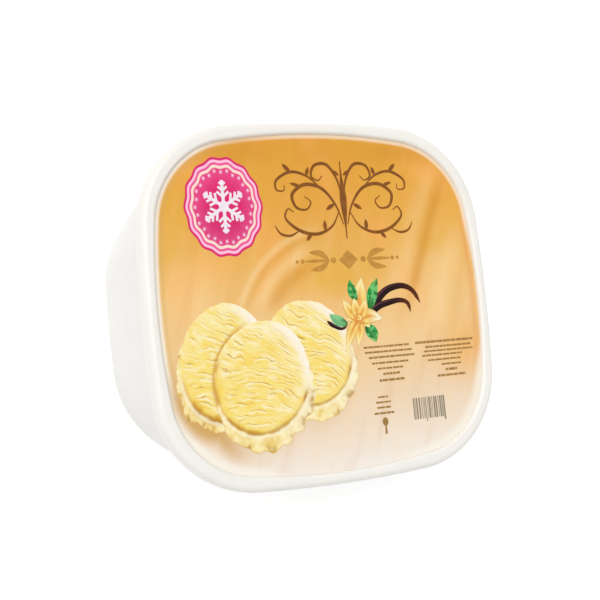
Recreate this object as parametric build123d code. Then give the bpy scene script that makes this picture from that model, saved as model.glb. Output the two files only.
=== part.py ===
from build123d import *
import os
from math import sqrt

# Two-litre ice cream tub with its push-on lid shut, in millimetres.
# The tub stands on its base: +Z is up, the origin is on the floor under the middle of the lid,
# +Y points to the top of the printed label and +X to its right-hand side.

# Overall sizes
lid_width = 176.0
lid_length = 165.5
overall_height = 100.0

# Plan shape of the lid: four sides that bow gently outwards, joined by large round corners
lid_side_radius = 640.0
lid_corner_radius = 47.0

# Lid
skirt_depth = 8.5
skirt_wall = 1.3
shoulder_radius = 3.0
ridge_width = 5.4
ridge_height = 2.0
ridge_inner_radius = 1.6
lid_plate = 1.2
panel_side_radius = 320.0
panel_corner_radius = 40.0
skirt_edge_radius = 0.4

# Printed label moulded onto the lid's sunk panel
label_thickness = 0.2
label_clearance = 0.3

# Tub
wall_inset = 2.6
wall_draft = 11.0
base_side_radius = 505.0
base_corner_radius = 50.0
base_edge_radius = 6.0
rim_bead_rise = 1.6

# Heights of the fitting faces, all worked down from the top of the ridge
skirt_bottom = overall_height - skirt_depth
panel_top = overall_height - ridge_height
tub_top = panel_top - lid_plate
bead_bottom = skirt_bottom + rim_bead_rise

# The ridge's inner rounding stops a little above the panel, whatever the ridge's height
inner_rounding = min(ridge_inner_radius, ridge_height - label_thickness)


def rounded_plan(half_width, half_length, side_radius, corner_radius):
    """Face bounded by eight tangent arcs: four bowed sides and the four corners between them."""
    # Centres of the arcs of the +Y and +X sides, and of the corner arc that is tangent to both
    y_side = Vector(0, half_length - side_radius)
    x_side = Vector(half_width - side_radius, 0)
    reach = side_radius - corner_radius
    half_gap = (x_side - y_side).length / 2
    outwards = Vector(-y_side.Y, -x_side.X).normalized()
    corner = (x_side + y_side) / 2 + outwards * sqrt(reach**2 - half_gap**2)

    # Ends and middle of the corner arc
    on_y_side = y_side + (corner - y_side) * (side_radius / reach)
    on_x_side = x_side + (corner - x_side) * (side_radius / reach)
    bulge = (on_y_side - corner) + (on_x_side - corner)
    middle = corner + bulge.normalized() * corner_radius

    # The side and the corner of one quadrant, mirrored round the plan as start and middle points
    points = []
    for sign_x, sign_y in ((1, 1), (1, -1), (-1, -1), (-1, 1)):
        quadrant = [
            (0, half_length * sign_y),
            (on_y_side.X * sign_x, on_y_side.Y * sign_y),
            (middle.X * sign_x, middle.Y * sign_y),
            (on_x_side.X * sign_x, on_x_side.Y * sign_y),
            (half_width * sign_x, 0),
        ]
        if sign_x != sign_y:
            quadrant.reverse()
        points += quadrant[:-1]
    # Each arc runs from one tangent point to the next, through the point between them
    count = len(points)
    arcs = [
        ThreePointArc(points[i], points[(i + 1) % count], points[(i + 2) % count])
        for i in range(1, count, 2)
    ]
    return make_face(arcs)


def lid_plan(inset):
    """The lid's plan, pulled in by the same amount all round."""
    return rounded_plan(
        lid_width / 2 - inset,
        lid_length / 2 - inset,
        lid_side_radius - inset,
        lid_corner_radius - inset,
    )


def panel_plan(inset):
    """The plan of the sunk panel inside the ridge, pulled in by the same amount all round."""
    return rounded_plan(
        lid_width / 2 - ridge_width - inset,
        lid_length / 2 - ridge_width - inset,
        panel_side_radius - inset,
        panel_corner_radius - inset,
    )


def base_plan():
    """The tub's plan where it stands on the floor."""
    inset = wall_inset + wall_draft
    return rounded_plan(
        lid_width / 2 - inset,
        lid_length / 2 - inset,
        base_side_radius,
        base_corner_radius,
    )


def block(plan, bottom, top):
    """A plan face extruded straight up between two heights."""
    return extrude(Pos(0, 0, bottom) * plan, amount=top - bottom, dir=(0, 0, 1))


def make_tub():
    """The filled tub: walls that narrow to a rounded base, and the rim bead that the lid grips."""
    wall = loft([base_plan(), Pos(0, 0, bead_bottom) * lid_plan(wall_inset)])
    wall = fillet(wall.edges().group_by(Axis.Z)[0], base_edge_radius)
    bead = block(lid_plan(skirt_wall), bead_bottom, tub_top)
    return wall + bead


def make_lid():
    """The lid: a raised ridge round a sunk panel, and a skirt that closes over the rim bead."""
    cap = block(lid_plan(0), skirt_bottom, overall_height)
    cap = fillet(cap.edges().group_by(Axis.Z)[-1], shoulder_radius)
    cap = fillet(cap.edges().group_by(Axis.Z)[0], skirt_edge_radius)
    cap -= block(panel_plan(0), panel_top, overall_height)
    inner_edge = cap.edges().group_by(Axis.Z)[-1].sort_by(SortBy.DISTANCE)[:8]
    cap = fillet(inner_edge, inner_rounding)
    return cap - block(lid_plan(skirt_wall), skirt_bottom, tub_top)


def make_label():
    """The printed film that covers the sunk panel."""
    return block(panel_plan(label_clearance), panel_top, panel_top + label_thickness)


os.makedirs("parts", exist_ok=True)
parts = {"tub": make_tub(), "lid": make_lid(), "lid_label": make_label()}
for name, part in parts.items():
    export_step(part, f"parts/{name}.step")
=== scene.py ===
"""Ice cream tub with a push-on lid: plastic, printed film, floor, lamps and camera."""

import random
from math import cos, pi, radians, sin

import bpy
from mathutils import Matrix, Vector


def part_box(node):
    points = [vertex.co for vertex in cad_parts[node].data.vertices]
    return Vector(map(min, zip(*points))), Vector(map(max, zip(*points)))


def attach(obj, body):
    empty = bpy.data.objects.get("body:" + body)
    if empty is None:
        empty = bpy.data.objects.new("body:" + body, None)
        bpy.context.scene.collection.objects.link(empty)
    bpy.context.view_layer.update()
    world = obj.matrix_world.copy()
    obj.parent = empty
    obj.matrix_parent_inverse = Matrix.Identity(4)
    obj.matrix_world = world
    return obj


bl_info = {
    "name": "Ice Cream Tub",
    "version": (1, 0, 0),
    "blender": (4, 5, 0),
    "location": "View3D > Sidebar > Ice Cream Tub",
    "description": "Finishes a plastic ice cream tub and prints the film on its lid",
    "category": "Object",
}

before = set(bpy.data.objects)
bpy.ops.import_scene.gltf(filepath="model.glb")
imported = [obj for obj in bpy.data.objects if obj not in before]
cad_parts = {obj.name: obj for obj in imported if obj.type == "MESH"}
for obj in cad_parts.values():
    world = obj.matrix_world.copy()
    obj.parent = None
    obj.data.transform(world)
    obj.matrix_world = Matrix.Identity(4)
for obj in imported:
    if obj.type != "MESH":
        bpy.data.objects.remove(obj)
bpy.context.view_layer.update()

MM = 0.001
FILM_LOW, FILM_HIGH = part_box("lid_label")
FILM_TOP = FILM_HIGH.z
FILM_HALF_WIDTH = (FILM_HIGH.x - FILM_LOW.x) / 2 / MM
FILM_HALF_DEPTH = (FILM_HIGH.y - FILM_LOW.y) / 2 / MM
# The arcs of the film's bowed sides and of its corners, in millimetres.
FILM_SIDE_RADIUS = 319.7
FILM_CORNER_RADIUS = 39.7
UV_NAME = "along_across"
# How deep the grain of plastic and film goes, in metres.
RELIEF_DEPTH = 0.0002
# How far each stroke of print lies above the one before, in millimetres.
STEP = 0.004


def display(red, green, blue):
    """A colour given as screen values from 0 to 255, as the linear colour that shaders take."""

    def linear(value):
        part = value / 255
        return part / 12.92 if part <= 0.04045 else ((part + 0.055) / 1.055) ** 2.4

    return linear(red), linear(green), linear(blue)


# ---- shader maths


def operator(operation, swapped=False):
    """A method that adds the Math node of one Python operator."""

    def apply(self, other):
        pair = (other, self) if swapped else (self, other)
        return self.finish.maths(operation, *pair)

    return apply


class Wire:
    """A socket that Python arithmetic works on; each operation adds its Math node."""

    __add__ = __radd__ = operator("ADD")
    __sub__ = operator("SUBTRACT")
    __rsub__ = operator("SUBTRACT", swapped=True)
    __mul__ = __rmul__ = operator("MULTIPLY")
    __truediv__ = operator("DIVIDE")
    __rtruediv__ = operator("DIVIDE", swapped=True)

    def __init__(self, finish, socket):
        self.finish = finish
        self.socket = socket

    def math(self, operation, *others):
        return self.finish.maths(operation, self, *others)

    def __neg__(self):
        return self.math("MULTIPLY", -1)

    def __abs__(self):
        return self.math("ABSOLUTE")

    def rise(self, low, high):
        """0 below low, 1 above high and a smooth step between."""
        settings = {"interpolation_type": "SMOOTHSTEP"}
        inputs = {"Value": self, "From Min": low, "From Max": high}
        return self.finish.node("ShaderNodeMapRange", settings, inputs)

    def fall(self, low, high):
        """1 below low, 0 above high and a smooth step between."""
        return 1 - self.rise(low, high)

    def hump(self, width):
        """1 where the value is 0, falling smoothly to nothing on both sides."""
        share = self / width
        return (-(share * share)).math("EXPONENT")


def distance(x, y):
    """How far the place x, y lies from the middle, as a wire."""
    return (x * x + y * y).math("SQRT")


class Finish:
    """A new material, with a method for each kind of node that the tub's finishes use."""

    def __init__(self, name, fixed=None):
        self.material = bpy.data.materials.new(name)
        self.material.use_nodes = True
        self.nodes = self.material.node_tree.nodes
        self.links = self.material.node_tree.links
        self.shader = self.nodes["Principled BSDF"]
        self.colour = None
        for socket, value in (fixed or {}).items():
            self.shader.inputs[socket].default_value = value

    @staticmethod
    def in_use(sockets, key):
        live = [socket for socket in sockets if socket.enabled]
        if isinstance(key, int):
            return live[key]
        return next(socket for socket in live if socket.name == key)

    def feed(self, socket, value):
        if isinstance(value, Wire):
            self.links.new(value.socket, socket)
        elif socket.type == "RGBA" and len(value) == 3:
            socket.default_value = (*value, 1)
        else:
            socket.default_value = value

    def node(self, kind, settings=None, inputs=None, output=0):
        made = self.nodes.new(kind)
        for key, value in (settings or {}).items():
            if key == "stops":
                ramp = made.color_ramp
                while len(ramp.elements) < len(value):
                    ramp.elements.new(0.5)
                for element, (place, colour) in zip(ramp.elements, value):
                    element.position = place
                    element.color = (*colour, 1)
            else:
                setattr(made, key, value)
        for key, value in (inputs or {}).items():
            self.feed(self.in_use(made.inputs, key), value)
        return Wire(self, self.in_use(made.outputs, output))

    def maths(self, operation, *values, kind="ShaderNodeMath"):
        return self.node(kind, {"operation": operation}, dict(enumerate(values)))

    def vector(self, operation, *values):
        return self.maths(operation, *values, kind="ShaderNodeVectorMath")

    def position(self):
        """The place on the piece, in millimetres from its own origin."""
        here = self.node("ShaderNodeTexCoord", output="Object")
        return self.vector("MULTIPLY", here, (1 / MM,) * 3)

    def xyz(self, vector):
        return [
            self.node("ShaderNodeSeparateXYZ", inputs={0: vector}, output=axis)
            for axis in "XYZ"
        ]

    def flat(self, x, y):
        return self.node("ShaderNodeCombineXYZ", inputs={"X": x, "Y": y})

    def noise(self, vector, scale, detail=2.0, roughness=0.5):
        inputs = {"Vector": vector, "Scale": scale, "Detail": detail, "Roughness": roughness}
        return self.node("ShaderNodeTexNoise", {"noise_dimensions": "3D"}, inputs)

    def blend(self, share, low, high):
        settings = {"data_type": "RGBA", "blend_type": "MIX"}
        inputs = {"Factor": share, "A": low, "B": high}
        return self.node("ShaderNodeMix", settings, inputs)

    def coat(self, share, *colour):
        """Lays a share of a colour over the finish so far: screen values, or a shader colour."""
        over = display(*colour) if len(colour) == 3 else colour[0]
        self.colour = self.blend(share, self.colour, over)

    def ramp(self, value, stops):
        return self.node("ShaderNodeValToRGB", {"stops": stops}, {0: value})

    def bump(self, height, strength, depth):
        inputs = {"Strength": strength, "Distance": depth, "Height": height}
        return self.node("ShaderNodeBump", inputs=inputs)

    def finish(self, colour, roughness, normal=None):
        self.feed(self.shader.inputs["Base Color"], colour)
        self.feed(self.shader.inputs["Roughness"], roughness)
        if normal is not None:
            self.feed(self.shader.inputs["Normal"], normal)
        return self.material

    def printed(self, place):
        """The finished print: the colour so far, on a thin film over board grain."""
        grain = self.noise(place, 2.4, detail=3.0, roughness=0.6)
        waves = self.noise(place, 0.05, detail=1.0)
        roughness = 0.38 + (grain - 0.5) * 0.10 + (waves - 0.5) * 0.08
        relief = self.bump(grain * 0.5 + waves * 0.5, 0.12, RELIEF_DEPTH)
        return self.finish(self.colour, roughness, relief)


# ---- print in thin slabs


def smooth_path(points, steps=12):
    """A smooth run of points through the given ones, in millimetres."""
    run = [Vector(p) for p in points]
    ends = [run[0] * 2 - run[1], *run, run[-1] * 2 - run[-2]]
    path = []
    for before, start, stop, after in zip(ends, ends[1:], ends[2:], ends[3:]):
        for step in range(steps):
            t = step / steps
            bend = (2 * before - 5 * start + 4 * stop - after) * t * t
            swing = (3 * start - before - 3 * stop + after) * t**3
            path.append(0.5 * (2 * start + (stop - before) * t + bend + swing))
    return [*path, run[-1]]


def oval(half_width, half_height, count, centre=(0, 0)):
    """Points evenly round an oval, in millimetres."""
    turns = [2 * pi * i / count for i in range(count)]
    return [(centre[0] + half_width * cos(t), centre[1] + half_height * sin(t)) for t in turns]


class Slab:
    """Gathers flat patches of print and makes one closed, paper-thin mesh of them."""

    SUNK = 0.05

    def __init__(self, name, lift, origin=(0, 0)):
        self.name = name
        self.lift = lift
        self.origin = origin
        self.vertices = []
        self.faces = []
        self.places = []

    def patch(self, points, faces, places, extra=0.0):
        """One patch: points in millimetres, faces by number, a place along and across for each."""
        first = len(self.vertices)
        under = first + len(points)
        for height in (self.lift + extra, -self.SUNK):
            self.vertices += [(p[0] * MM, p[1] * MM, height * MM) for p in points]
            self.places += places
        edges = {edge for face in faces for edge in zip(face, [*face[1:], face[0]])}
        for face in faces:
            self.faces.append([first + i for i in face])
            self.faces.append([under + i for i in reversed(face)])
        for a, b in sorted(edges):
            if (b, a) not in edges:
                self.faces.append([first + b, first + a, under + a, under + b])

    def ribbon(self, path, half_width, across=4, extra=0.0):
        """A strip along path; half_width gives half its width at a share of its length."""
        run = [Vector(p) for p in path]
        lengths = [0.0]
        for a, b in zip(run, run[1:]):
            lengths.append(lengths[-1] + (b - a).length)
        points, places = [], []
        for i, spot in enumerate(run):
            ahead = run[min(i + 1, len(run) - 1)] - run[max(i - 1, 0)]
            side = Vector((-ahead.y, ahead.x)).normalized()
            share = lengths[i] / lengths[-1]
            for j in range(across + 1):
                over = j / across
                points.append(spot + side * half_width(share) * (2 * over - 1))
                places.append((share, over))
        row = across + 1
        faces = [
            [i * row + j, (i + 1) * row + j, (i + 1) * row + j + 1, i * row + j + 1]
            for i in range(len(run) - 1)
            for j in range(across)
        ]
        self.patch(points, faces, places, extra)

    def disc(self, outline, rings=6, extra=0.0, centre=(0, 0)):
        """A filled closed outline, in rings round its centre."""
        middle = Vector(centre)
        count = len(outline)
        points, places = [middle], [(0.5, 0.5)]
        for ring in range(1, rings + 1):
            share = ring / rings
            points += [middle + (Vector(p) - middle) * share for p in outline]
            places += oval(share / 2, share / 2, count, (0.5, 0.5))
        faces = [[0, 1 + i, 1 + (i + 1) % count] for i in range(count)]
        for ring in range(1, rings):
            inner = 1 + (ring - 1) * count
            outer = inner + count
            for i in range(count):
                j = (i + 1) % count
                faces.append([inner + i, outer + i, outer + j, inner + j])
        self.patch(points, faces, places, extra)

    def make(self, material):
        mesh = bpy.data.meshes.new(self.name)
        mesh.from_pydata(self.vertices, [], self.faces)
        layer = mesh.uv_layers.new(name=UV_NAME)
        for loop in mesh.loops:
            layer.data[loop.index].uv = self.places[loop.vertex_index]
        mesh.validate()
        piece = add_object(self.name, mesh)
        piece.location = (self.origin[0] * MM, self.origin[1] * MM, FILM_TOP)
        mesh.materials.append(material)
        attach(piece, "root")
        return piece


def leaf_shape(half, base=0.25, power=0.8):
    """Half widths of a pointed oval, widest near its middle."""
    return lambda t: half * max(sin(pi * min(t + base * (1 - t), 1.0)), 0.02) ** power


def stroke_shape(half, thin=0.25):
    """Half widths of a pen stroke that swells in the middle and thins at its ends."""
    return lambda t: half * (thin + (1 - thin) * sin(pi * t) ** 1.2)


def add_object(name, data):
    """A new object, linked to the scene."""
    made = bpy.data.objects.new(name, data)
    bpy.context.scene.collection.objects.link(made)
    return made


# ---- what a user may change


class TubSettings(bpy.types.PropertyGroup):
    """Colours and sizes of the tub, its lid and the printed film."""

    def colour(name, description, *values):
        return bpy.props.FloatVectorProperty(
            name=name, description=description, subtype="COLOR", size=3, min=0, max=1,
            default=display(*values),
        )

    tub_white: colour("Tub", "Plastic of the tub", 242, 240, 235)
    lid_white: colour("Lid", "Plastic of the lid", 244, 241, 234)
    film_gold: colour("Film, top", "Film along the top edge", 228, 160, 54)
    film_peach: colour("Film, middle", "Film across the middle", 240, 193, 122)
    film_cream: colour("Film, foot", "Film along the bottom edge", 244, 235, 226)
    scoop_pale: colour("Scoops, light", "Light side of the printed scoops", 253, 238, 176)
    scoop_yellow: colour("Scoops, body", "Body of the printed scoops", 249, 224, 124)
    scoop_amber: colour("Scoops, creases", "Creases of the printed scoops", 205, 143, 38)
    leaf_green: colour("Leaves", "Printed leaves", 6, 142, 56)
    pod_brown: colour("Pods", "Printed seed pods", 34, 6, 8)
    petal_cream: colour("Petals", "Printed petals", 250, 228, 134)
    seal_pink: colour("Seal", "Field of the printed seal", 226, 36, 112)
    ink_brown: colour("Flourish", "Ink of the pen flourish", 140, 82, 14)
    ink_tan: colour("Rule", "Ink of the ornament under the flourish", 204, 146, 60)
    ink_small: colour("Small lines", "Ink of the small lines", 174, 132, 70)
    ink_stripes: colour("Stripes", "Ink of the stripes", 148, 138, 118)


class StageSettings(bpy.types.PropertyGroup):
    """Floor, lamps and camera."""

    def number(name, description, default, **kind):
        return bpy.props.FloatProperty(
            name=name, description=description, default=default, **kind
        )

    def vector(name, description, subtype, *default):
        return bpy.props.FloatVectorProperty(
            name=name, description=description, subtype=subtype, default=default
        )

    floor_size: number("Floor", "Side of the square floor", 8.0, unit="LENGTH")
    sky_level: number("Room light", "Level of the even light all round", 0.62)
    key_strength: number("Key lamp", "Strength of the soft lamp from the upper left", 1.45)
    key_from: vector(
        "Key from", "The direction that the soft lamp shines from", "DIRECTION",
        -0.457, 0.359, 0.816,
    )
    key_angle: number(
        "Key softness", "How wide the soft lamp looks from the tub", radians(46), subtype="ANGLE"
    )
    camera_place: vector(
        "Camera", "Where the camera stands", "TRANSLATION", -0.24858, -0.0337, 0.55322
    )
    camera_aim: vector(
        "Aim", "The point that the camera looks at", "TRANSLATION", -0.01549, 0.00117, 0.1
    )
    camera_up: vector(
        "Upward", "The direction that is upward in the view", "DIRECTION", 0.0569, 0.9928, 0.1057
    )
    camera_lens: number("Lens", "Focal length in millimetres", 68.36)


def tub_settings():
    return bpy.context.scene.ice_cream_tub


def toned(base, factor):
    """The same colour, lighter or darker by a factor."""
    return tuple(min(c * factor, 1.0) for c in base)


# ---- plastic


def moulded_plastic(name, colour, roughness, grain):
    """Satin polypropylene: a faint cloud in its colour and a fine moulded grain."""
    plastic = Finish(name, {"IOR": 1.49})
    place = plastic.position()
    cloud = plastic.noise(place, 0.035, detail=3.0, roughness=0.55)
    fine = plastic.noise(place, 1.6, detail=4.0, roughness=0.6)
    flow = plastic.noise(plastic.vector("MULTIPLY", place, (1, 1, 0.12)), 0.11)
    low, high = toned(colour, 0.975), toned(colour, 1.01)
    tint = plastic.blend((cloud * 0.75 + flow * 0.25).rise(0.3, 0.7), low, high)
    gloss = roughness + (flow - 0.5) * 0.06 + (fine - 0.5) * 0.08
    relief = fine * 0.85 + flow * 0.15
    return plastic.finish(tint, gloss, plastic.bump(relief, grain, RELIEF_DEPTH))


def dress(node, material):
    """Puts a material on a solid from the frame, in place of what it came with."""
    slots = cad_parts[node].data.materials
    if len(slots) == 0:
        slots.append(material)
    for index in range(len(slots)):
        slots[index] = material


class TUB_OT_finish_tub(bpy.types.Operator):
    """Gives the tub its satin white plastic."""

    bl_idname = "icetub.finish_tub"
    bl_label = "Finish the Tub"

    def execute(self, context):
        colour = tub_settings().tub_white
        dress("tub", moulded_plastic("tub_plastic", colour, roughness=0.42, grain=0.18))
        return {"FINISHED"}


class TUB_OT_finish_lid(bpy.types.Operator):
    """Gives the lid its smoother white plastic."""

    bl_idname = "icetub.finish_lid"
    bl_label = "Finish the Lid"

    def execute(self, context):
        colour = tub_settings().lid_white
        dress("lid", moulded_plastic("lid_plastic", colour, roughness=0.32, grain=0.10))
        return {"FINISHED"}


# ---- printed film


class Scoop:
    """One printed scoop, in millimetres.

    collar: its reach, direction in degrees and fall-off. crease: its turn to the right, its top
    and its width. spot: the place and size of the darkest patch in the crease.
    """

    def __init__(self, name, centre, size, lean, collar, crease, spot, lift):
        self.name = name
        self.centre = centre
        self.half_width, self.half_height = size
        self.lean = lean
        self.collar, turn, self.collar_power = collar
        self.collar_turn = radians(turn)
        self.crease_side, self.crease_top, self.crease_width = crease
        self.spot_x, self.spot_y, self.spot_size = spot
        self.lift = lift


SCOOPS = (
    Scoop(
        name="left", centre=(-53.6, -23.5), size=(20.7, 25.5), lean=0.08, lift=0.05,
        collar=(4.8, -112, 0.8), crease=(0.0, 0.1, 1.5), spot=(-0.25, -0.95, 5.0),
    ),
    Scoop(
        name="right", centre=(-12.8, -22.6), size=(22.1, 23.8), lean=-0.03, lift=0.07,
        collar=(7.4, -84, 0.9), crease=(0.35, -0.1, 1.0), spot=(0.9, -0.42, 2.8),
    ),
    Scoop(
        name="front", centre=(-36.5, -31.6), size=(23.1, 24.8), lean=0.09, lift=0.10,
        collar=(8.2, -77, 1.3), crease=(-0.4, -0.1, 1.0), spot=(0.9, -0.42, 2.8),
    ),
)


# A film print is duller than bare plastic.
PRINT_SHEEN = {"Specular IOR Level": 0.3}


def film_inset(x, y):
    """How far a place on the film lies inside its edge, in millimetres.

    The edge is two pairs of bowed sides, and corner arcs that meet both sides smoothly.
    """
    y_side = Vector((0, FILM_HALF_DEPTH - FILM_SIDE_RADIUS))
    x_side = Vector((FILM_HALF_WIDTH - FILM_SIDE_RADIUS, 0))
    reach = FILM_SIDE_RADIUS - FILM_CORNER_RADIUS
    rise = (reach**2 - (x_side - y_side).length_squared / 4) ** 0.5
    corner = (x_side + y_side) / 2 + Vector((-y_side.y, -x_side.x)).normalized() * rise
    across, along = abs(x), abs(y)
    past_y_side = distance(x, along - y_side.y) - FILM_SIDE_RADIUS
    past_x_side = distance(across - x_side.x, y) - FILM_SIDE_RADIUS
    past_side = past_y_side.math("MAXIMUM", past_x_side)
    past_corner = distance(across - corner.x, along - corner.y) - FILM_CORNER_RADIUS
    # The corner arc counts only between the two lines where it meets the sides.
    right_of = across * (corner.y - y_side.y) - (along - y_side.y) * corner.x
    above = along * (corner.x - x_side.x) - (across - x_side.x) * corner.y
    sector = right_of.math("GREATER_THAN", 0) * above.math("GREATER_THAN", 0)
    return -(past_corner * sector + past_side * (1 - sector))


class TUB_OT_finish_film(bpy.types.Operator):
    """Prints the film's ground: gold at the top, peach, then cream, in silky folds."""

    bl_idname = "icetub.finish_film"
    bl_label = "Finish the Film"

    def execute(self, context):
        made = tub_settings()
        film = Finish("film_ground", PRINT_SHEEN)
        place = film.position()
        x, y, _ = film.xyz(place)
        u = x / FILM_HALF_WIDTH
        v = y / FILM_HALF_DEPTH
        cloud = film.noise(place, 0.022)
        height = (v + 1) * 0.5 + (cloud - 0.5) * 0.10 - u * 0.02
        stops = (
            (0.0, made.film_cream), (0.05, display(243, 230, 213)),
            (0.12, display(242, 222, 198)), (0.2, display(239, 214, 182)),
            (0.29, display(241, 207, 160)), (0.4, display(242, 205, 148)),
            (0.52, made.film_peach), (0.64, display(237, 182, 92)),
            (0.77, display(234, 172, 72)), (0.9, display(231, 166, 60)),
            (1.0, made.film_gold),
        )
        film.colour = film.ramp(height, stops)

        # The fold that sweeps down the right side.
        right = u - (0.544 + v * 0.37 + v * v * 0.048)
        reach = v.rise(-0.15, 0.12) * v.fall(0.62, 0.88)
        dark = right.hump(0.04) * reach * 0.55
        light = (right + 0.11).hump(0.06) * reach * 0.26
        beyond = (right - 0.19).hump(0.1) * v.rise(-0.3, 0.0)
        light += beyond * v.fall(0.2, 0.5) * 0.5

        # The folds that curl up from the scoops, as arcs round one centre.
        swirl = distance(x - 6.0, y + 19.6)
        curl = y.rise(-5.0, 4.0) * x.fall(-16.0, 4.0)
        light += (swirl - 53.6).hump(1.7) * curl * 0.5
        light += (swirl - 45.0).hump(3.0) * curl * 0.5
        dark += (swirl - 50.5).hump(1.6) * curl * 0.25
        dark += (swirl - 38.5).hump(3.6) * curl * 0.5

        # Soft pools of light at both sides, a deeper middle, and a fine silky grain.
        pool = (u + 0.8).hump(0.16) * (v - 0.05).hump(0.22)
        light += pool * 0.4
        dark += u.hump(0.45) * v.rise(0.0, 0.5) * 0.22
        gilt = (u - 0.03).hump(0.24) * (v - 0.15).hump(0.13)
        silk = film.noise(film.flat(x * 0.9 - y * 0.35, y * 0.12 + x * 0.1), 0.12)
        calm = 1 - v.rise(0.3, 0.65) * 0.75
        light += silk.rise(0.5, 0.75) * calm * 0.22
        dark += (-silk).rise(-0.5, -0.25) * 0.16

        # Along the edge: a bare white margin at the left that widens at the two lower corners,
        # painted shade at the left and right edges, and a painted highlight along the top.
        inset = film_inset(x, y)
        leftward = (-u).rise(0.4, 0.75)
        corner = (abs(u) - v).rise(1.25, 1.5)
        inner = inset / (1 + corner * 1.6)
        # Painted shade that the ridge throws along the film's left edge.
        left_edge_shade = (inset - 2.8).hump(1.0) * leftward * (1 - corner) * 0.3
        bare = inner.fall(0.5, 2.3) * leftward.math("MAXIMUM", corner)
        bare *= 0.9 - u.rise(0.0, 0.5) * 0.2
        # Painted shade, a darker orange, along the film's right edge next to the ridge.
        right_edge_shade = (inset - 2.4).hump(1.8) * u.rise(0.7, 0.9)
        right_edge_shade = right_edge_shade * v.rise(-0.55, -0.3) * v.fall(0.3, 0.6) * 0.45
        # Painted highlight: a pale strip along the top edge where the film meets the ridge.
        pale = inset.fall(0.8, 2.2) * (v + u * 0.45).rise(0.55, 0.95) * 0.8

        # A deeper band along the top, and an orange patch at the right.
        dark += (v - 0.89).hump(0.07) * (abs(u).rise(0.15, 0.45) * 0.35 + 0.1)
        ember = (u - 0.86).hump(0.16) * (v + 0.32).hump(0.2)

        # Broad patches that lean to orange or to yellow gold, strongest in the upper half.
        drift = film.noise(film.flat(x, y * 0.7), 0.035)
        upper = v.rise(-0.4, 0.3)
        film.coat(drift.rise(0.5, 0.62) * upper * 0.45, 250, 178, 94)
        film.coat((-drift).rise(-0.48, -0.38) * upper * 0.4, 228, 172, 58)
        film.coat(ember * 0.75, 240, 180, 96)
        film.coat(gilt * 0.7, 234, 178, 64)
        film.coat(light.math("MINIMUM", 1.0), 252, 216, 156)
        film.coat(dark.math("MINIMUM", 1.0), 212, 144, 38)
        # Painted shade along the left edge.
        film.coat(left_edge_shade, 200, 172, 112)
        # Painted shade along the right edge.
        film.coat(right_edge_shade, 226, 158, 84)
        # Painted highlight along the top edge.
        film.coat(pale, 250, 226, 196)
        film.coat(bare, 249, 243, 230)

        # The amber shadow that the left and front scoops throw to the lower left.
        near = None
        for scoop in SCOOPS:
            cx, cy = scoop.centre
            across, down = x - (cx - 1.8), y - (cy - scoop.collar * 0.5 - 1.2)
            across = (across - down * scoop.lean) / (scoop.half_width + 2.6)
            away = distance(across, down / (scoop.half_height + scoop.collar * 0.5 + 1.0))
            near = away if near is None else near.math("MINIMUM", away)
        low = (-y).rise(14.0, 44.0) * (1 - x.rise(-62.0, -42.0) * 0.85)
        shade = near.fall(0.94, 1.2) * low
        film.coat(shade, 212, 168, 98)
        dress("lid_label", film.printed(place))
        return {"FINISHED"}


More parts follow.
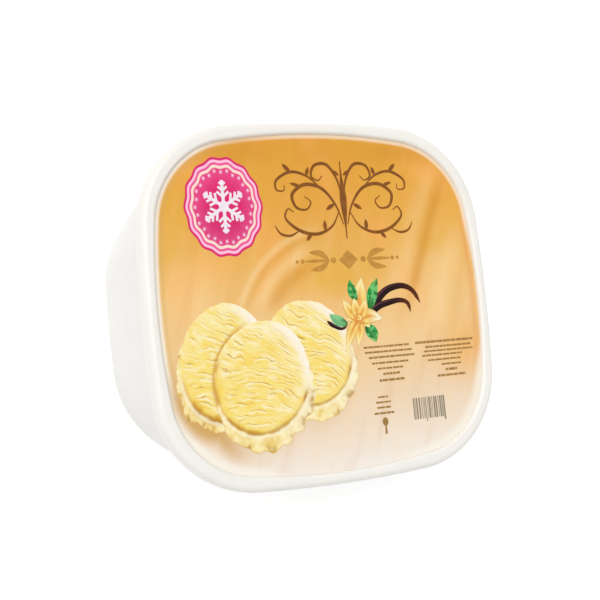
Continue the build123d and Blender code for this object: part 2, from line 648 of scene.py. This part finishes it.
class TUB_OT_print_scoops(bpy.types.Operator):
    """Prints the three scoops, each a dome with drag lines and a ragged collar."""

    bl_idname = "icetub.print_scoops"
    bl_label = "Print the Scoops"

    STEPS = 360
    PITCH = 2.05
    # Where the dome meets the collar, as a share of the dome's half size.
    SEAM = 0.985

    def outline(self, scoop, rng):
        """The dome's oval, a little uneven, with the frilled collar pushed out of it."""

        def waves(low, high, count):
            return [(rng.randint(low, high), rng.uniform(0, 2 * pi)) for _ in range(count)]

        swells, frills, frays = waves(3, 8, 4), waves(7, 24, 9), waves(31, 67, 6)
        points = []
        for i in range(self.STEPS):
            turn = 2 * pi * i / self.STEPS
            lobe = max(cos(turn - scoop.collar_turn), 0.0) ** scoop.collar_power
            swell = sum(sin(n * turn + p) for n, p in swells) * 0.16
            frill = sum(sin(n * turn + p) for n, p in frills) * 0.14
            fray = sum(sin(n * turn + p) for n, p in frays) * 0.05
            out = swell + scoop.collar * lobe * (1 + 0.3 * frill)
            out = out + frill * 0.35 + fray * (0.6 + lobe)
            x = cos(turn) * (scoop.half_width + out)
            y = sin(turn) * (scoop.half_height + out)
            points.append((x + scoop.lean * y, y))
        return points

    def material(self, scoop, seed):
        made = tub_settings()
        cream = Finish("scoop_" + scoop.name, PRINT_SHEEN)
        place = cream.position()
        x, y, _ = cream.xyz(place)
        ex, ey = (x - y * scoop.lean) / scoop.half_width, y / scoop.half_height
        out = distance(ex, ey)
        moved = cream.vector("ADD", place, (seed * 37.0, seed * 11.0, 0))
        wander = cream.noise(moved, 0.09)
        rough = cream.noise(moved, 0.32, detail=3.0, roughness=0.6)

        # The middle is a deeper yellow, with richer patches; light falls on the upper right.
        lit = (out * 0.8 + (ex + ey) * 0.2 + (wander - 0.5) * 0.7).rise(0.3, 1.05)
        cream.colour = cream.blend(lit, made.scoop_yellow, made.scoop_pale)
        rich = cream.noise(moved, 0.16).rise(0.52, 0.7)
        cream.coat(rich * 0.5, 248, 214, 84)
        cream.coat(rough.rise(0.5, 0.75) * 0.6, 255, 245, 200)

        # Drag lines: short furrows, level at the left and falling away to the upper right.
        high, right = y.math("MAXIMUM", 0.0), x.math("MAXIMUM", 0.0)
        level = y + x * (high * 0.02 + 0.1) + right * right * 0.02
        level = level + (wander - 0.5) * 7.0 + (rough - 0.5) * 1.6
        smears = cream.noise(cream.flat(x * 0.1 + seed * 5.0, level * 0.3), 1.0)
        cream.coat(smears.rise(0.5, 0.66) * 0.55, 250, 214, 92)
        cream.coat((-smears).rise(-0.46, -0.34) * 0.6, 255, 244, 204)
        phase = level * (2 * pi / self.PITCH)
        dashes = cream.noise(cream.flat(x * 0.13 + seed * 9.0, level * 0.42), 1.0)
        inside = out.fall(0.84, 0.97)
        kept = dashes.rise(0.42, 0.62) * inside
        furrow = phase.math("SINE").rise(0.0, 0.95) * kept
        glint = (phase + 1.9).math("SINE").rise(0.2, 0.95) * kept
        deep = dashes.rise(0.56, 0.68) * phase.math("SINE").rise(0.55, 0.98) * inside
        cream.coat(glint * 0.65, 255, 250, 216)
        cream.coat(furrow * 0.6, 222, 174, 66)
        cream.coat(deep * 0.6, 184, 134, 48)

        # The broad pale rim at the upper right.
        rim = (out + (rough - 0.5) * 0.08).rise(0.74, 0.92)
        rim *= (ex * 0.8 + ey * 0.5).rise(0.42, 0.9)
        cream.coat(rim * 0.92, 254, 245, 230)

        # The collar below: soft folds that run outward, shaded in the notches between them.
        ragged = out + (rough - 0.5) * 0.06
        turn = ey.math("ARCTAN2", ex)
        pleats = cream.noise(cream.flat(turn * 4.5 + seed * 3.0, out * 3.0), 1.0, detail=3.0)
        folds = (pleats * 0.65 + rough * 0.35).rise(0.38, 0.6)
        skirt = cream.blend(folds, display(238, 206, 118), display(254, 240, 184))
        skirt = cream.blend(ex.rise(0.2, 0.9) * 0.5, skirt, display(252, 244, 220))
        along, across = along_across(cream)
        share = distance(along - 0.5, across - 0.5) * 2
        notch = (-pleats).rise(-0.44, -0.34) * share.rise(0.88, 0.98)
        skirt = cream.blend(notch * 0.75, skirt, display(176, 132, 56))
        frayed = share.rise(0.965, 1.0) * (-ey).rise(0.2, 0.7)
        skirt = cream.blend(frayed * 0.5, skirt, display(214, 164, 88))
        cream.coat(ragged.rise(0.98, 1.03), skirt)

        # The amber crease where dome and collar meet: deep at the lower left, faint at the right.
        active = (-ey + ex * scoop.crease_side).rise(scoop.crease_top, scoop.crease_top + 0.3)
        blot = cream.noise(moved, 0.12, detail=1.0).rise(0.42, 0.6)
        left = 0.55 + (-ex).rise(-0.3, 0.3) * 0.45
        width = (blot * 0.026 + 0.024) * scoop.crease_width
        crease = (ragged - self.SEAM).hump(width) * active
        cream.coat(crease * (0.5 + blot * 0.5) * left, made.scoop_amber)
        cream.coat(crease * (-ey).rise(0.5, 0.85) * 0.55, 160, 98, 14)
        spot = distance(ex - scoop.spot_x, ey - scoop.spot_y) * scoop.half_width
        spot = spot.hump(scoop.spot_size)
        spot *= (ragged - self.SEAM).hump(0.02 + 0.0075 * scoop.spot_size)
        cream.coat(spot * 0.95, 178, 112, 8)
        glow = (ragged - 0.92).hump(0.06) * active
        cream.coat(glow * 0.5, 248, 212, 76)
        lip = (ragged - 1.05).hump(0.03) * active
        cream.coat(lip * 0.7, 255, 245, 210)

        # The deeper shade where a scoop in front covers this one.
        for other in SCOOPS:
            if other.lift > scoop.lift:
                cx = other.centre[0] - scoop.centre[0]
                cy = other.centre[1] - scoop.centre[1]
                over, up = x - cx, y - cy
                gap = distance(
                    (over - up * other.lean) / other.half_width, up / other.half_height
                )
                shade = gap.fall(1.0, 1.1) * (-over).rise(2.0, 16.0)
                cream.coat(shade * 0.85, 206, 150, 44)
        return cream.printed(place)

    def execute(self, context):
        for seed, scoop in enumerate(SCOOPS, start=1):
            slab = Slab("printed_scoop_" + scoop.name, scoop.lift, scoop.centre)
            slab.disc(self.outline(scoop, random.Random(seed)), rings=14)
            slab.make(self.material(scoop, seed))
        return {"FINISHED"}


def along_across(finish):
    """How far along and across its own patch a point of print is, from 0 to 1."""
    where = finish.node("ShaderNodeUVMap", {"uv_map": UV_NAME})
    return finish.xyz(where)[:2]


def inked(name, base, light, dark, scale=0.6):
    """Printing ink with the small light and dark patches of a real impression."""
    ink = Finish(name, PRINT_SHEEN)
    place = ink.position()
    across = along_across(ink)[1]
    patchy = ink.noise(place, scale, detail=3.0)
    edge = abs(across - 0.5).rise(0.32, 0.5)
    ink.colour = ink.blend(patchy.rise(0.35, 0.7), toned(base, dark), base)
    ink.coat(edge * 0.6, toned(base, light))
    return ink.printed(place)


class TUB_OT_print_flower(bpy.types.Operator):
    """Prints the flower with its leaves and seed pods."""

    bl_idname = "icetub.print_flower"
    bl_label = "Print the Flower"

    CENTRE = (14.9, -8.6)
    # Each petal: direction in degrees, length, half width, bend.
    PETALS = (
        (262, 12.8, 2.5, 0.6), (241, 16.4, 2.5, -0.9), (318, 7.2, 2.1, 0.5), (186, 6.6, 1.6, -0.3),
        (132, 11.2, 2.9, 0.9), (355, 12.2, 3.6, 0.9), (100, 9.2, 2.6, 0.4), (62, 9.0, 2.6, -0.6),
    )
    # The tall pale petal stands behind the leaves: direction, length, half width, bend.
    TALL_PETAL = (80, 18.4, 4.6, 0.3)
    # Each leaf: base, tip, half width.
    LEAVES = (
        ((14.4, -0.6), (12.0, 9.2), 2.3), ((21.4, -4.8), (26.7, 9.2), 2.7),
        ((8.2, -11.2), (-0.4, -6.0), 2.4), ((18.4, -12.6), (22.8, -20.4), 3.0),
    )
    # Each pod: half width, share of it at the start, then its points.
    PODS = (
        (2.1, 1.0, ((23.6, -3.6), (28.0, 1.2), (33.2, 4.2), (40.2, 5.0), (45.6, 2.4),
                    (49.2, -3.6))),
        (1.9, 1.0, ((22.0, -6.2), (26.0, -3.9), (30.4, -2.7), (37.6, -1.7), (42.0, -3.2),
                    (43.4, -7.6))),
        (1.1, 0.35, ((-1.8, -9.2), (1.4, -11.6), (4.6, -13.0), (7.0, -12.6), (8.8, -10.2))),
    )

    def petals(self):
        skin = Finish("petal_print", PRINT_SHEEN)
        place = skin.position()
        along, across = along_across(skin)
        side = abs(across - 0.5) * 2
        wisps = skin.noise(skin.flat(along * 1.6, across * 9.0), 1.6)
        x, _, _ = skin.xyz(place)
        pale = along.rise(0.5, 1.0) * 0.35 + x.rise(18.0, 25.0) * 0.5
        skin.colour = skin.blend(pale, tub_settings().petal_cream, display(252, 246, 224))
        warm = along.fall(0.2, 0.9) * wisps.rise(0.4, 0.6)
        skin.coat(warm * 0.8, 238, 166, 54)
        vein = (side - 0.05).hump(0.2) * along.fall(0.4, 0.95)
        skin.coat(vein * 0.8, 228, 138, 42)
        skin.coat(side.rise(0.66, 1.0) * 0.7, 206, 148, 62)
        throat = along.fall(0.08, 0.3)
        skin.coat(throat * 0.6, 222, 118, 34)
        slab = Slab("printed_petals", 0.15)
        middle = Vector(self.CENTRE)

        def petal(turn, length, half, bend, extra):
            ahead = Vector((cos(radians(turn)), sin(radians(turn))))
            side = Vector((-ahead.y, ahead.x))
            tip = middle + ahead * length
            waist = middle + ahead * length * 0.5 + side * bend
            slab.ribbon(smooth_path([middle, waist, tip], 10), leaf_shape(half), 8, extra)

        petal(*self.TALL_PETAL, -0.045)
        for order, shape in enumerate(self.PETALS):
            petal(*shape, 2 * STEP * order)
        slab.disc(oval(1.3, 1.3, 24, middle), 2, 0.08, middle)
        slab.make(skin.printed(place))

    def leaves(self):
        skin = Finish("leaf_print", PRINT_SHEEN)
        place = skin.position()
        x, _, _ = skin.xyz(place)
        along, across = along_across(skin)
        lit = skin.noise(place, 0.35)
        rib = (across - 0.5).hump(0.06)
        veins = ((along * 60 + abs(across - 0.5) * 26).math("SINE") + 1) * 0.5
        base = tub_settings().leaf_green
        skin.colour = skin.blend(across.rise(0.35, 0.95), toned(base, 0.55), base)
        skin.coat(lit.rise(0.44, 0.58) * 0.8, 112, 208, 120)
        skin.coat(veins * 0.2, 30, 170, 74)
        tip = along.rise(0.45, 1.0) * lit.rise(0.36, 0.56)
        skin.coat(tip * 0.6, 150, 208, 110)
        skin.coat(along.fall(0.05, 0.35) * 0.6, 0, 84, 16)
        skin.coat((-x).rise(-9.0, -4.0) * 0.5, 150, 208, 160)
        skin.coat(rib * 0.35, 150, 214, 130)
        slab = Slab("printed_leaves", 0.11)
        for order, (base_end, tip, half) in enumerate(self.LEAVES):
            start, stop = Vector(base_end), Vector(tip)
            side = Vector((start.y - stop.y, stop.x - start.x)).normalized()
            waist = (start + stop) / 2 + side * half * 0.25
            path = smooth_path([start, waist, stop], 12)
            slab.ribbon(path, leaf_shape(half, 0.1, 0.9), 6, 2 * STEP * order)
        slab.make(skin.printed(place))

    def pods(self):
        skin = Finish("pod_print", {"Specular IOR Level": 0.15})
        place = skin.position()
        along, across = along_across(skin)
        base = tub_settings().pod_brown
        streak = skin.noise(skin.flat(along * 14.0, across * 4.0), 1.0, detail=3.0)
        skin.colour = skin.blend(streak.rise(0.35, 0.7), toned(base, 0.5), toned(base, 1.2))
        skin.coat(along.rise(0.45, 1.0) * 0.75, 112, 54, 18)
        gleam = (across - 0.8).hump(0.14) * along.fall(0.15, 0.7)
        skin.coat(gleam * 0.6, 118, 74, 78)
        slab = Slab("printed_pods", 0.08)
        for order, (half, start, run) in enumerate(self.PODS):

            def width(t, half=half, start=start):
                tip = min(1, 8 * (1 - t) + 0.15)
                return half * (1 - 0.6 * t) * min(start + 4 * t, tip, 1)

            slab.ribbon(smooth_path(run, 10), width, 6, 2 * STEP * order)
        slab.make(skin.printed(place))

    def execute(self, context):
        self.pods()
        self.leaves()
        self.petals()
        return {"FINISHED"}


class TUB_OT_print_seal(bpy.types.Operator):
    """Prints the scalloped pink seal with a white snow crystal on it."""

    bl_idname = "icetub.print_seal"
    bl_label = "Print the Seal"

    CENTRE = (-47.5, 44.5)
    HALF_WIDTH, HALF_HEIGHT = 18.6, 22.2
    SCALLOPS, SCALLOP_DEPTH = 14, 0.02
    # The crystal: length of an arm in millimetres, and how much taller than wide it is.
    ARM, STRETCH = 10.6, 1.12

    def seal(self):
        paint = Finish("seal_print", PRINT_SHEEN)
        place = paint.position()
        x, y, _ = paint.xyz(place)
        ex, ey = x / self.HALF_WIDTH, y / self.HALF_HEIGHT
        out = distance(ex, ey)
        turn = ey.math("ARCTAN2", ex)
        wave = (turn * self.SCALLOPS).math("COSINE")
        out -= wave * self.SCALLOP_DEPTH
        pink = tub_settings().seal_pink
        patchy = paint.noise(place, 0.09)
        paint.colour = paint.blend((ey + (patchy - 0.5)).rise(-0.7, 0.7), toned(pink, 0.86), pink)
        paint.coat(out.rise(0.35, 0.8) * 0.35, 246, 110, 168)
        beads = (turn * 28).math("COSINE").rise(0.1, 0.5) * (out - 0.715).hump(0.028)
        paint.coat(beads.math("MINIMUM", 1.0) * 0.9, 252, 214, 232)
        paint.coat(out.rise(0.775, 0.79), 252, 224, 206)
        paint.coat(out.rise(0.835, 0.85), 238, 82, 152)
        paint.coat(out.rise(0.885, 0.9), 255, 196, 222)
        paint.coat(out.rise(0.94, 0.955), toned(pink, 0.95))
        slab = Slab("printed_seal", 0.05, self.CENTRE)
        outline = []
        count = 16 * self.SCALLOPS
        for i in range(count):
            turn = 2 * pi * i / count
            out = 1 + self.SCALLOP_DEPTH * cos(self.SCALLOPS * turn)
            outline.append((cos(turn) * self.HALF_WIDTH * out, sin(turn) * self.HALF_HEIGHT * out))
        slab.disc(outline, 8)
        slab.make(paint.printed(place))

    def crystal(self):
        slab = Slab("printed_crystal", 0.09, self.CENTRE)
        white = inked("crystal_print", display(250, 238, 246), 1.0, 0.9)
        for arm in range(6):
            turn = radians(90 + 60 * arm)
            ahead = Vector((cos(turn), sin(turn) * self.STRETCH))
            spine = [ahead * 1.2, ahead * self.ARM * 0.5, ahead * self.ARM]
            slab.ribbon(spine, lambda t: 0.75, 2, STEP * arm)
            for order, share in enumerate((0.36, 0.6, 0.82)):
                start = ahead * self.ARM * share
                for hand in (-1, 1):
                    lean = turn + hand * radians(52)
                    branch = Vector((cos(lean), sin(lean) * self.STRETCH)) * (3.6 - 0.9 * order)
                    extra = 0.03 + STEP * (arm + 6 * order) + (STEP / 2 if hand > 0 else 0)
                    twig = [start, start + branch / 2, start + branch]
                    slab.ribbon(twig, lambda t: 0.55, 2, extra)
        slab.disc(oval(2.4, 2.7, 6), 2, 0.13)
        slab.make(white)

    def execute(self, context):
        self.seal()
        self.crystal()
        return {"FINISHED"}


class TUB_OT_print_flourish(bpy.types.Operator):
    """Prints the pen flourish: a vine scroll, the same to the left and right."""

    bl_idname = "icetub.print_flourish"
    bl_label = "Print the Flourish"

    CENTRE = (13.0, 46.5)
    HALF_WIDTH, HALF_HEIGHT = 36.5, 18.5
    # Each stroke of the right half: half width in millimetres, then its points.
    STROKES = (
        (0.85, ((0.03, -0.62), (0.12, -0.12), (0.3, 0.3), (0.54, 0.4), (0.72, 0.16), (0.68, -0.16),
                (0.54, -0.22), (0.47, -0.04), (0.55, 0.1))),
        (0.75, ((0.02, 0.1), (0.07, 0.55), (0.2, 0.9), (0.37, 0.88), (0.43, 0.62), (0.34, 0.5),
                (0.27, 0.62))),
        (0.7, ((0.3, 0.3), (0.5, 0.62), (0.72, 0.72), (0.92, 0.52), (0.93, 0.28), (0.83, 0.26),
               (0.82, 0.4))),
        (0.8, ((0.08, -0.3), (0.2, -0.66), (0.42, -0.84), (0.66, -0.74), (0.84, -0.44),
               (0.8, -0.2), (0.72, -0.28))),
        (0.6, ((0.66, -0.74), (0.8, -0.86), (0.93, -0.8), (1.0, -0.6))),
    )
    # Each small leaf of the right half: base, tip, half width in millimetres.
    SPRIGS = (
        ((0.14, -0.1), (0.26, -0.24), 1.0), ((0.3, -0.76), (0.3, -0.5), 1.0),
        ((0.5, -0.83), (0.58, -1.0), 0.9), ((0.5, 0.62), (0.46, 0.84), 0.9),
        ((0.72, 0.72), (0.82, 0.92), 1.0), ((0.6, 0.36), (0.74, 0.44), 0.8),
        ((0.12, 0.75), (0.03, 0.62), 0.8),
    )

    def execute(self, context):
        ink = inked("flourish_ink", tub_settings().ink_brown, 1.5, 0.72, 0.25)
        slab = Slab("printed_flourish", 0.06, self.CENTRE)
        extra = 0.0

        def place(point, hand):
            return Vector((point[0] * hand * self.HALF_WIDTH, point[1] * self.HALF_HEIGHT))

        for hand in (1, -1):
            for half, run in self.STROKES:
                path = smooth_path([place(p, hand) for p in run], 9)
                slab.ribbon(path, stroke_shape(half), 3, extra)
                extra += STEP
            for base, tip, half in self.SPRIGS:
                path = smooth_path([place(base, hand), place(tip, hand)], 8)
                slab.ribbon(path, leaf_shape(half, 0.05), 3, extra)
                extra += STEP
        stem = smooth_path([place((0, end), 1) for end in (-0.98, 0, 0.98)], 14)
        slab.ribbon(stem, lambda t: 0.25 + 1.5 * sin(pi * t) ** 3, 3, extra)
        slab.make(ink)
        return {"FINISHED"}


class TUB_OT_print_rule(bpy.types.Operator):
    """Prints the tan ornament below the flourish: lozenge, dots, leaves and fine lines."""

    bl_idname = "icetub.print_rule"
    bl_label = "Print the Rule"

    CENTRE = (12.5, 18.6)

    def execute(self, context):
        ink = inked("rule_ink", tub_settings().ink_tan, 1.15, 0.82, 0.3)
        slab = Slab("printed_rule", 0.05, self.CENTRE)
        slab.disc([(5.0, 0), (0, 4.6), (-5.0, 0), (0, -4.6)], 2)
        for hand in (1, -1):
            for order, (away, half) in enumerate(((7.9, 1.45), (23.8, 1.05), (26.6, 0.8))):
                ring = oval(half, half, 20, (hand * away, 0))
                slab.disc(ring, 2, STEP / 2 * order, (hand * away, 0))
            for lean in (1, -1):
                run = ((hand * 10.2, 0.0), (hand * 14.2, lean * 3.2), (hand * 20.2, lean * 4.1))
                extra = 0.01 + STEP * (lean > 0)
                slab.ribbon(smooth_path(run, 8), leaf_shape(1.45, 0.05), 4, extra)
            run = ((hand * 10.6, 0.0), (hand * 16.5, 0.0), (hand * 22.2, 0.0))
            slab.ribbon(smooth_path(run, 6), stroke_shape(0.8, 0.4), 2, 0.02)
        slab.make(ink)
        return {"FINISHED"}


class TUB_OT_print_small_lines(bpy.types.Operator):
    """Prints the rows of fine dashes at the lower right, and the stripes under them."""

    bl_idname = "icetub.print_small_lines"
    bl_label = "Print the Small Lines"

    WEIGHT = 1.3
    # The stripes' left end, right end and top, in millimetres.
    STRIPES = (39.3, 56.5, -48.2)
    # Each row: left end, right end, height above the film's middle, half thickness.
    ROWS = (
        (15.8, 40.4, -22.7, 0.36), (16.2, 41.8, -25.1, 0.34), (18.0, 43.0, -27.6, 0.36),
        (19.4, 39.2, -30.3, 0.34), (22.1, 36.0, -32.9, 0.34), (24.9, 34.0, -35.5, 0.42),
        (22.5, 37.0, -38.4, 0.44), (44.0, 77.0, -22.5, 0.44), (49.4, 75.4, -24.9, 0.36),
        (48.5, 77.0, -26.9, 0.32), (47.3, 70.0, -28.9, 0.34), (50.2, 68.8, -31.2, 0.34),
        (57.6, 68.8, -33.6, 0.34), (59.6, 66.4, -36.2, 0.46), (54.7, 70.8, -38.9, 0.42),
        (20.6, 26.2, -46.0, 0.3), (19.4, 27.4, -48.4, 0.32), (19.8, 27.2, -50.8, 0.34),
        (18.0, 28.6, -53.4, 0.38),
    )

    def dashes(self, slab, rng):
        for left, right, height, half in self.ROWS:
            at = left
            while at < right - 0.6:
                stop = min(at + rng.uniform(1.2, 4.2), right)
                run = [(at, height), ((at + stop) / 2, height), (stop, height)]
                slab.ribbon(run, lambda t: half * self.WEIGHT, 2)
                at = stop + rng.uniform(0.2, 0.4)

    def execute(self, context):
        base = tub_settings().ink_small
        rng = random.Random(7)
        slab = Slab("printed_small_lines", 0.05)
        self.dashes(slab, rng)
        bowl = (23.4, -57.4)
        slab.disc(oval(1.5, 2.0, 24, bowl), 2, 0.006, bowl)
        slab.ribbon([(23.4, -58.4), (23.4, -60.6), (23.4, -63.0)], lambda t: 0.38 + 0.3 * t * t, 2)
        slab.make(inked("small_line_ink", base, 1.25, 0.7))

        stripes = Slab("printed_stripes", 0.05)
        at, end, top = self.STRIPES
        while at < end:
            half = rng.choice((0.16, 0.22, 0.32, 0.42))
            low = -59.6 if rng.random() < 0.2 else -58.2
            middle = at + half
            stripes.ribbon([(middle, low), (middle, -53.5), (middle, top)], lambda t: half, 2)
            at = middle + half + rng.choice((0.3, 0.4, 0.6))
        stripes.make(inked("stripe_ink", tub_settings().ink_stripes, 1.2, 0.85))
        return {"FINISHED"}


# ---- stage


class TUB_OT_set_stage(bpy.types.Operator):
    """Sets the floor, the even room light, the soft key lamp and the camera."""

    bl_idname = "icetub.set_stage"
    bl_label = "Set the Stage"

    def floor(self, made):
        half = made.floor_size / 2
        mesh = bpy.data.meshes.new("floor")
        corners = [(-half, -half, 0), (half, -half, 0), (half, half, 0), (-half, half, 0)]
        mesh.from_pydata(corners, [], [[0, 1, 2, 3]])
        floor = add_object("floor", mesh)
        paint = Finish("floor_paint")
        speckle = paint.noise(paint.position(), 0.02)
        colour = paint.blend(speckle, display(236, 236, 236), display(240, 240, 240))
        seen, mirrored, through = [
            paint.node("ShaderNodeLightPath", output=f"Is {ray} Ray")
            for ray in ("Camera", "Glossy", "Transmission")
        ]
        glow = (seen + mirrored + through).math("MINIMUM", 1.0) * 0.40
        lamp = paint.node("ShaderNodeEmission", inputs={"Color": (1, 1, 1), "Strength": glow})
        base = Wire(paint, paint.shader.outputs["BSDF"])
        both = paint.node("ShaderNodeAddShader", inputs={0: base, 1: lamp})
        paint.finish(colour, 0.9)
        paint.shader.inputs["Specular IOR Level"].default_value = 0.0
        output = paint.nodes["Material Output"]
        paint.links.new(both.socket, output.inputs["Surface"])
        mesh.materials.append(paint.material)

    def room(self, made):
        world = bpy.data.worlds.new("room")
        bpy.context.scene.world = world
        world.use_nodes = True
        nodes, links = world.node_tree.nodes, world.node_tree.links
        even, white = nodes["Background"], nodes.new("ShaderNodeBackground")
        for light, strength in ((even, made.sky_level), (white, 1.0)):
            light.inputs["Color"].default_value = (1, 1, 1, 1)
            light.inputs["Strength"].default_value = strength
        path = nodes.new("ShaderNodeLightPath")
        pick = nodes.new("ShaderNodeMixShader")
        most = nodes.new("ShaderNodeMath")
        most.operation = "MAXIMUM"
        for index, ray in enumerate(("Is Camera Ray", "Is Glossy Ray")):
            links.new(path.outputs[ray], most.inputs[index])
        for index, source in enumerate((most, even, white)):
            links.new(source.outputs[0], pick.inputs[index])
        links.new(pick.outputs[0], nodes["World Output"].inputs["Surface"])

    def key(self, made):
        lamp = bpy.data.lights.new("key", "SUN")
        lamp.energy = made.key_strength
        lamp.angle = made.key_angle
        key = add_object("key", lamp)
        key.rotation_euler = Vector(made.key_from).to_track_quat("Z", "Y").to_euler()

    def camera(self, made):
        lens = bpy.data.cameras.new("camera")
        lens.lens = made.camera_lens
        lens.sensor_width = 36.0
        lens.clip_start = 0.01
        camera = add_object("camera", lens)
        place = Vector(made.camera_place)
        ahead = (Vector(made.camera_aim) - place).normalized()
        side = ahead.cross(Vector(made.camera_up)).normalized()
        turn = Matrix((side, side.cross(ahead), -ahead)).transposed()
        camera.matrix_world = Matrix.Translation(place) @ turn.to_4x4()
        bpy.context.scene.camera = camera

    def execute(self, context):
        made = context.scene.ice_cream_stage
        context.scene.view_settings.view_transform = "Standard"
        self.floor(made)
        self.room(made)
        self.key(made)
        self.camera(made)
        return {"FINISHED"}


# ---- panel and registration

PIECES = (
    TUB_OT_finish_tub,
    TUB_OT_finish_lid,
    TUB_OT_finish_film,
    TUB_OT_print_scoops,
    TUB_OT_print_flower,
    TUB_OT_print_seal,
    TUB_OT_print_flourish,
    TUB_OT_print_rule,
    TUB_OT_print_small_lines,
    TUB_OT_set_stage,
)


class TUB_PT_panel(bpy.types.Panel):
    """Lists the tub's pieces, its colours and the stage."""

    bl_idname = "TUB_PT_panel"
    bl_label = "Ice Cream Tub"
    bl_space_type = "VIEW_3D"
    bl_region_type = "UI"
    bl_category = "Ice Cream Tub"

    def draw(self, context):
        for made in (context.scene.ice_cream_tub, context.scene.ice_cream_stage):
            box = self.layout.box()
            for name in made.bl_rna.properties.keys():
                if name not in ("rna_type", "name"):
                    box.prop(made, name)
        for piece in PIECES:
            self.layout.operator(piece.bl_idname)


CLASSES = (TubSettings, StageSettings, *PIECES, TUB_PT_panel)


def register():
    for cls in CLASSES:
        bpy.utils.register_class(cls)
    bpy.types.Scene.ice_cream_tub = bpy.props.PointerProperty(type=TubSettings)
    bpy.types.Scene.ice_cream_stage = bpy.props.PointerProperty(type=StageSettings)


def unregister():
    del bpy.types.Scene.ice_cream_stage
    del bpy.types.Scene.ice_cream_tub
    for cls in reversed(CLASSES):
        bpy.utils.unregister_class(cls)


def main():
    register()
    for piece in PIECES:
        group, name = piece.bl_idname.split(".")
        getattr(getattr(bpy.ops, group), name)()


if __name__ == "__main__":
    main()
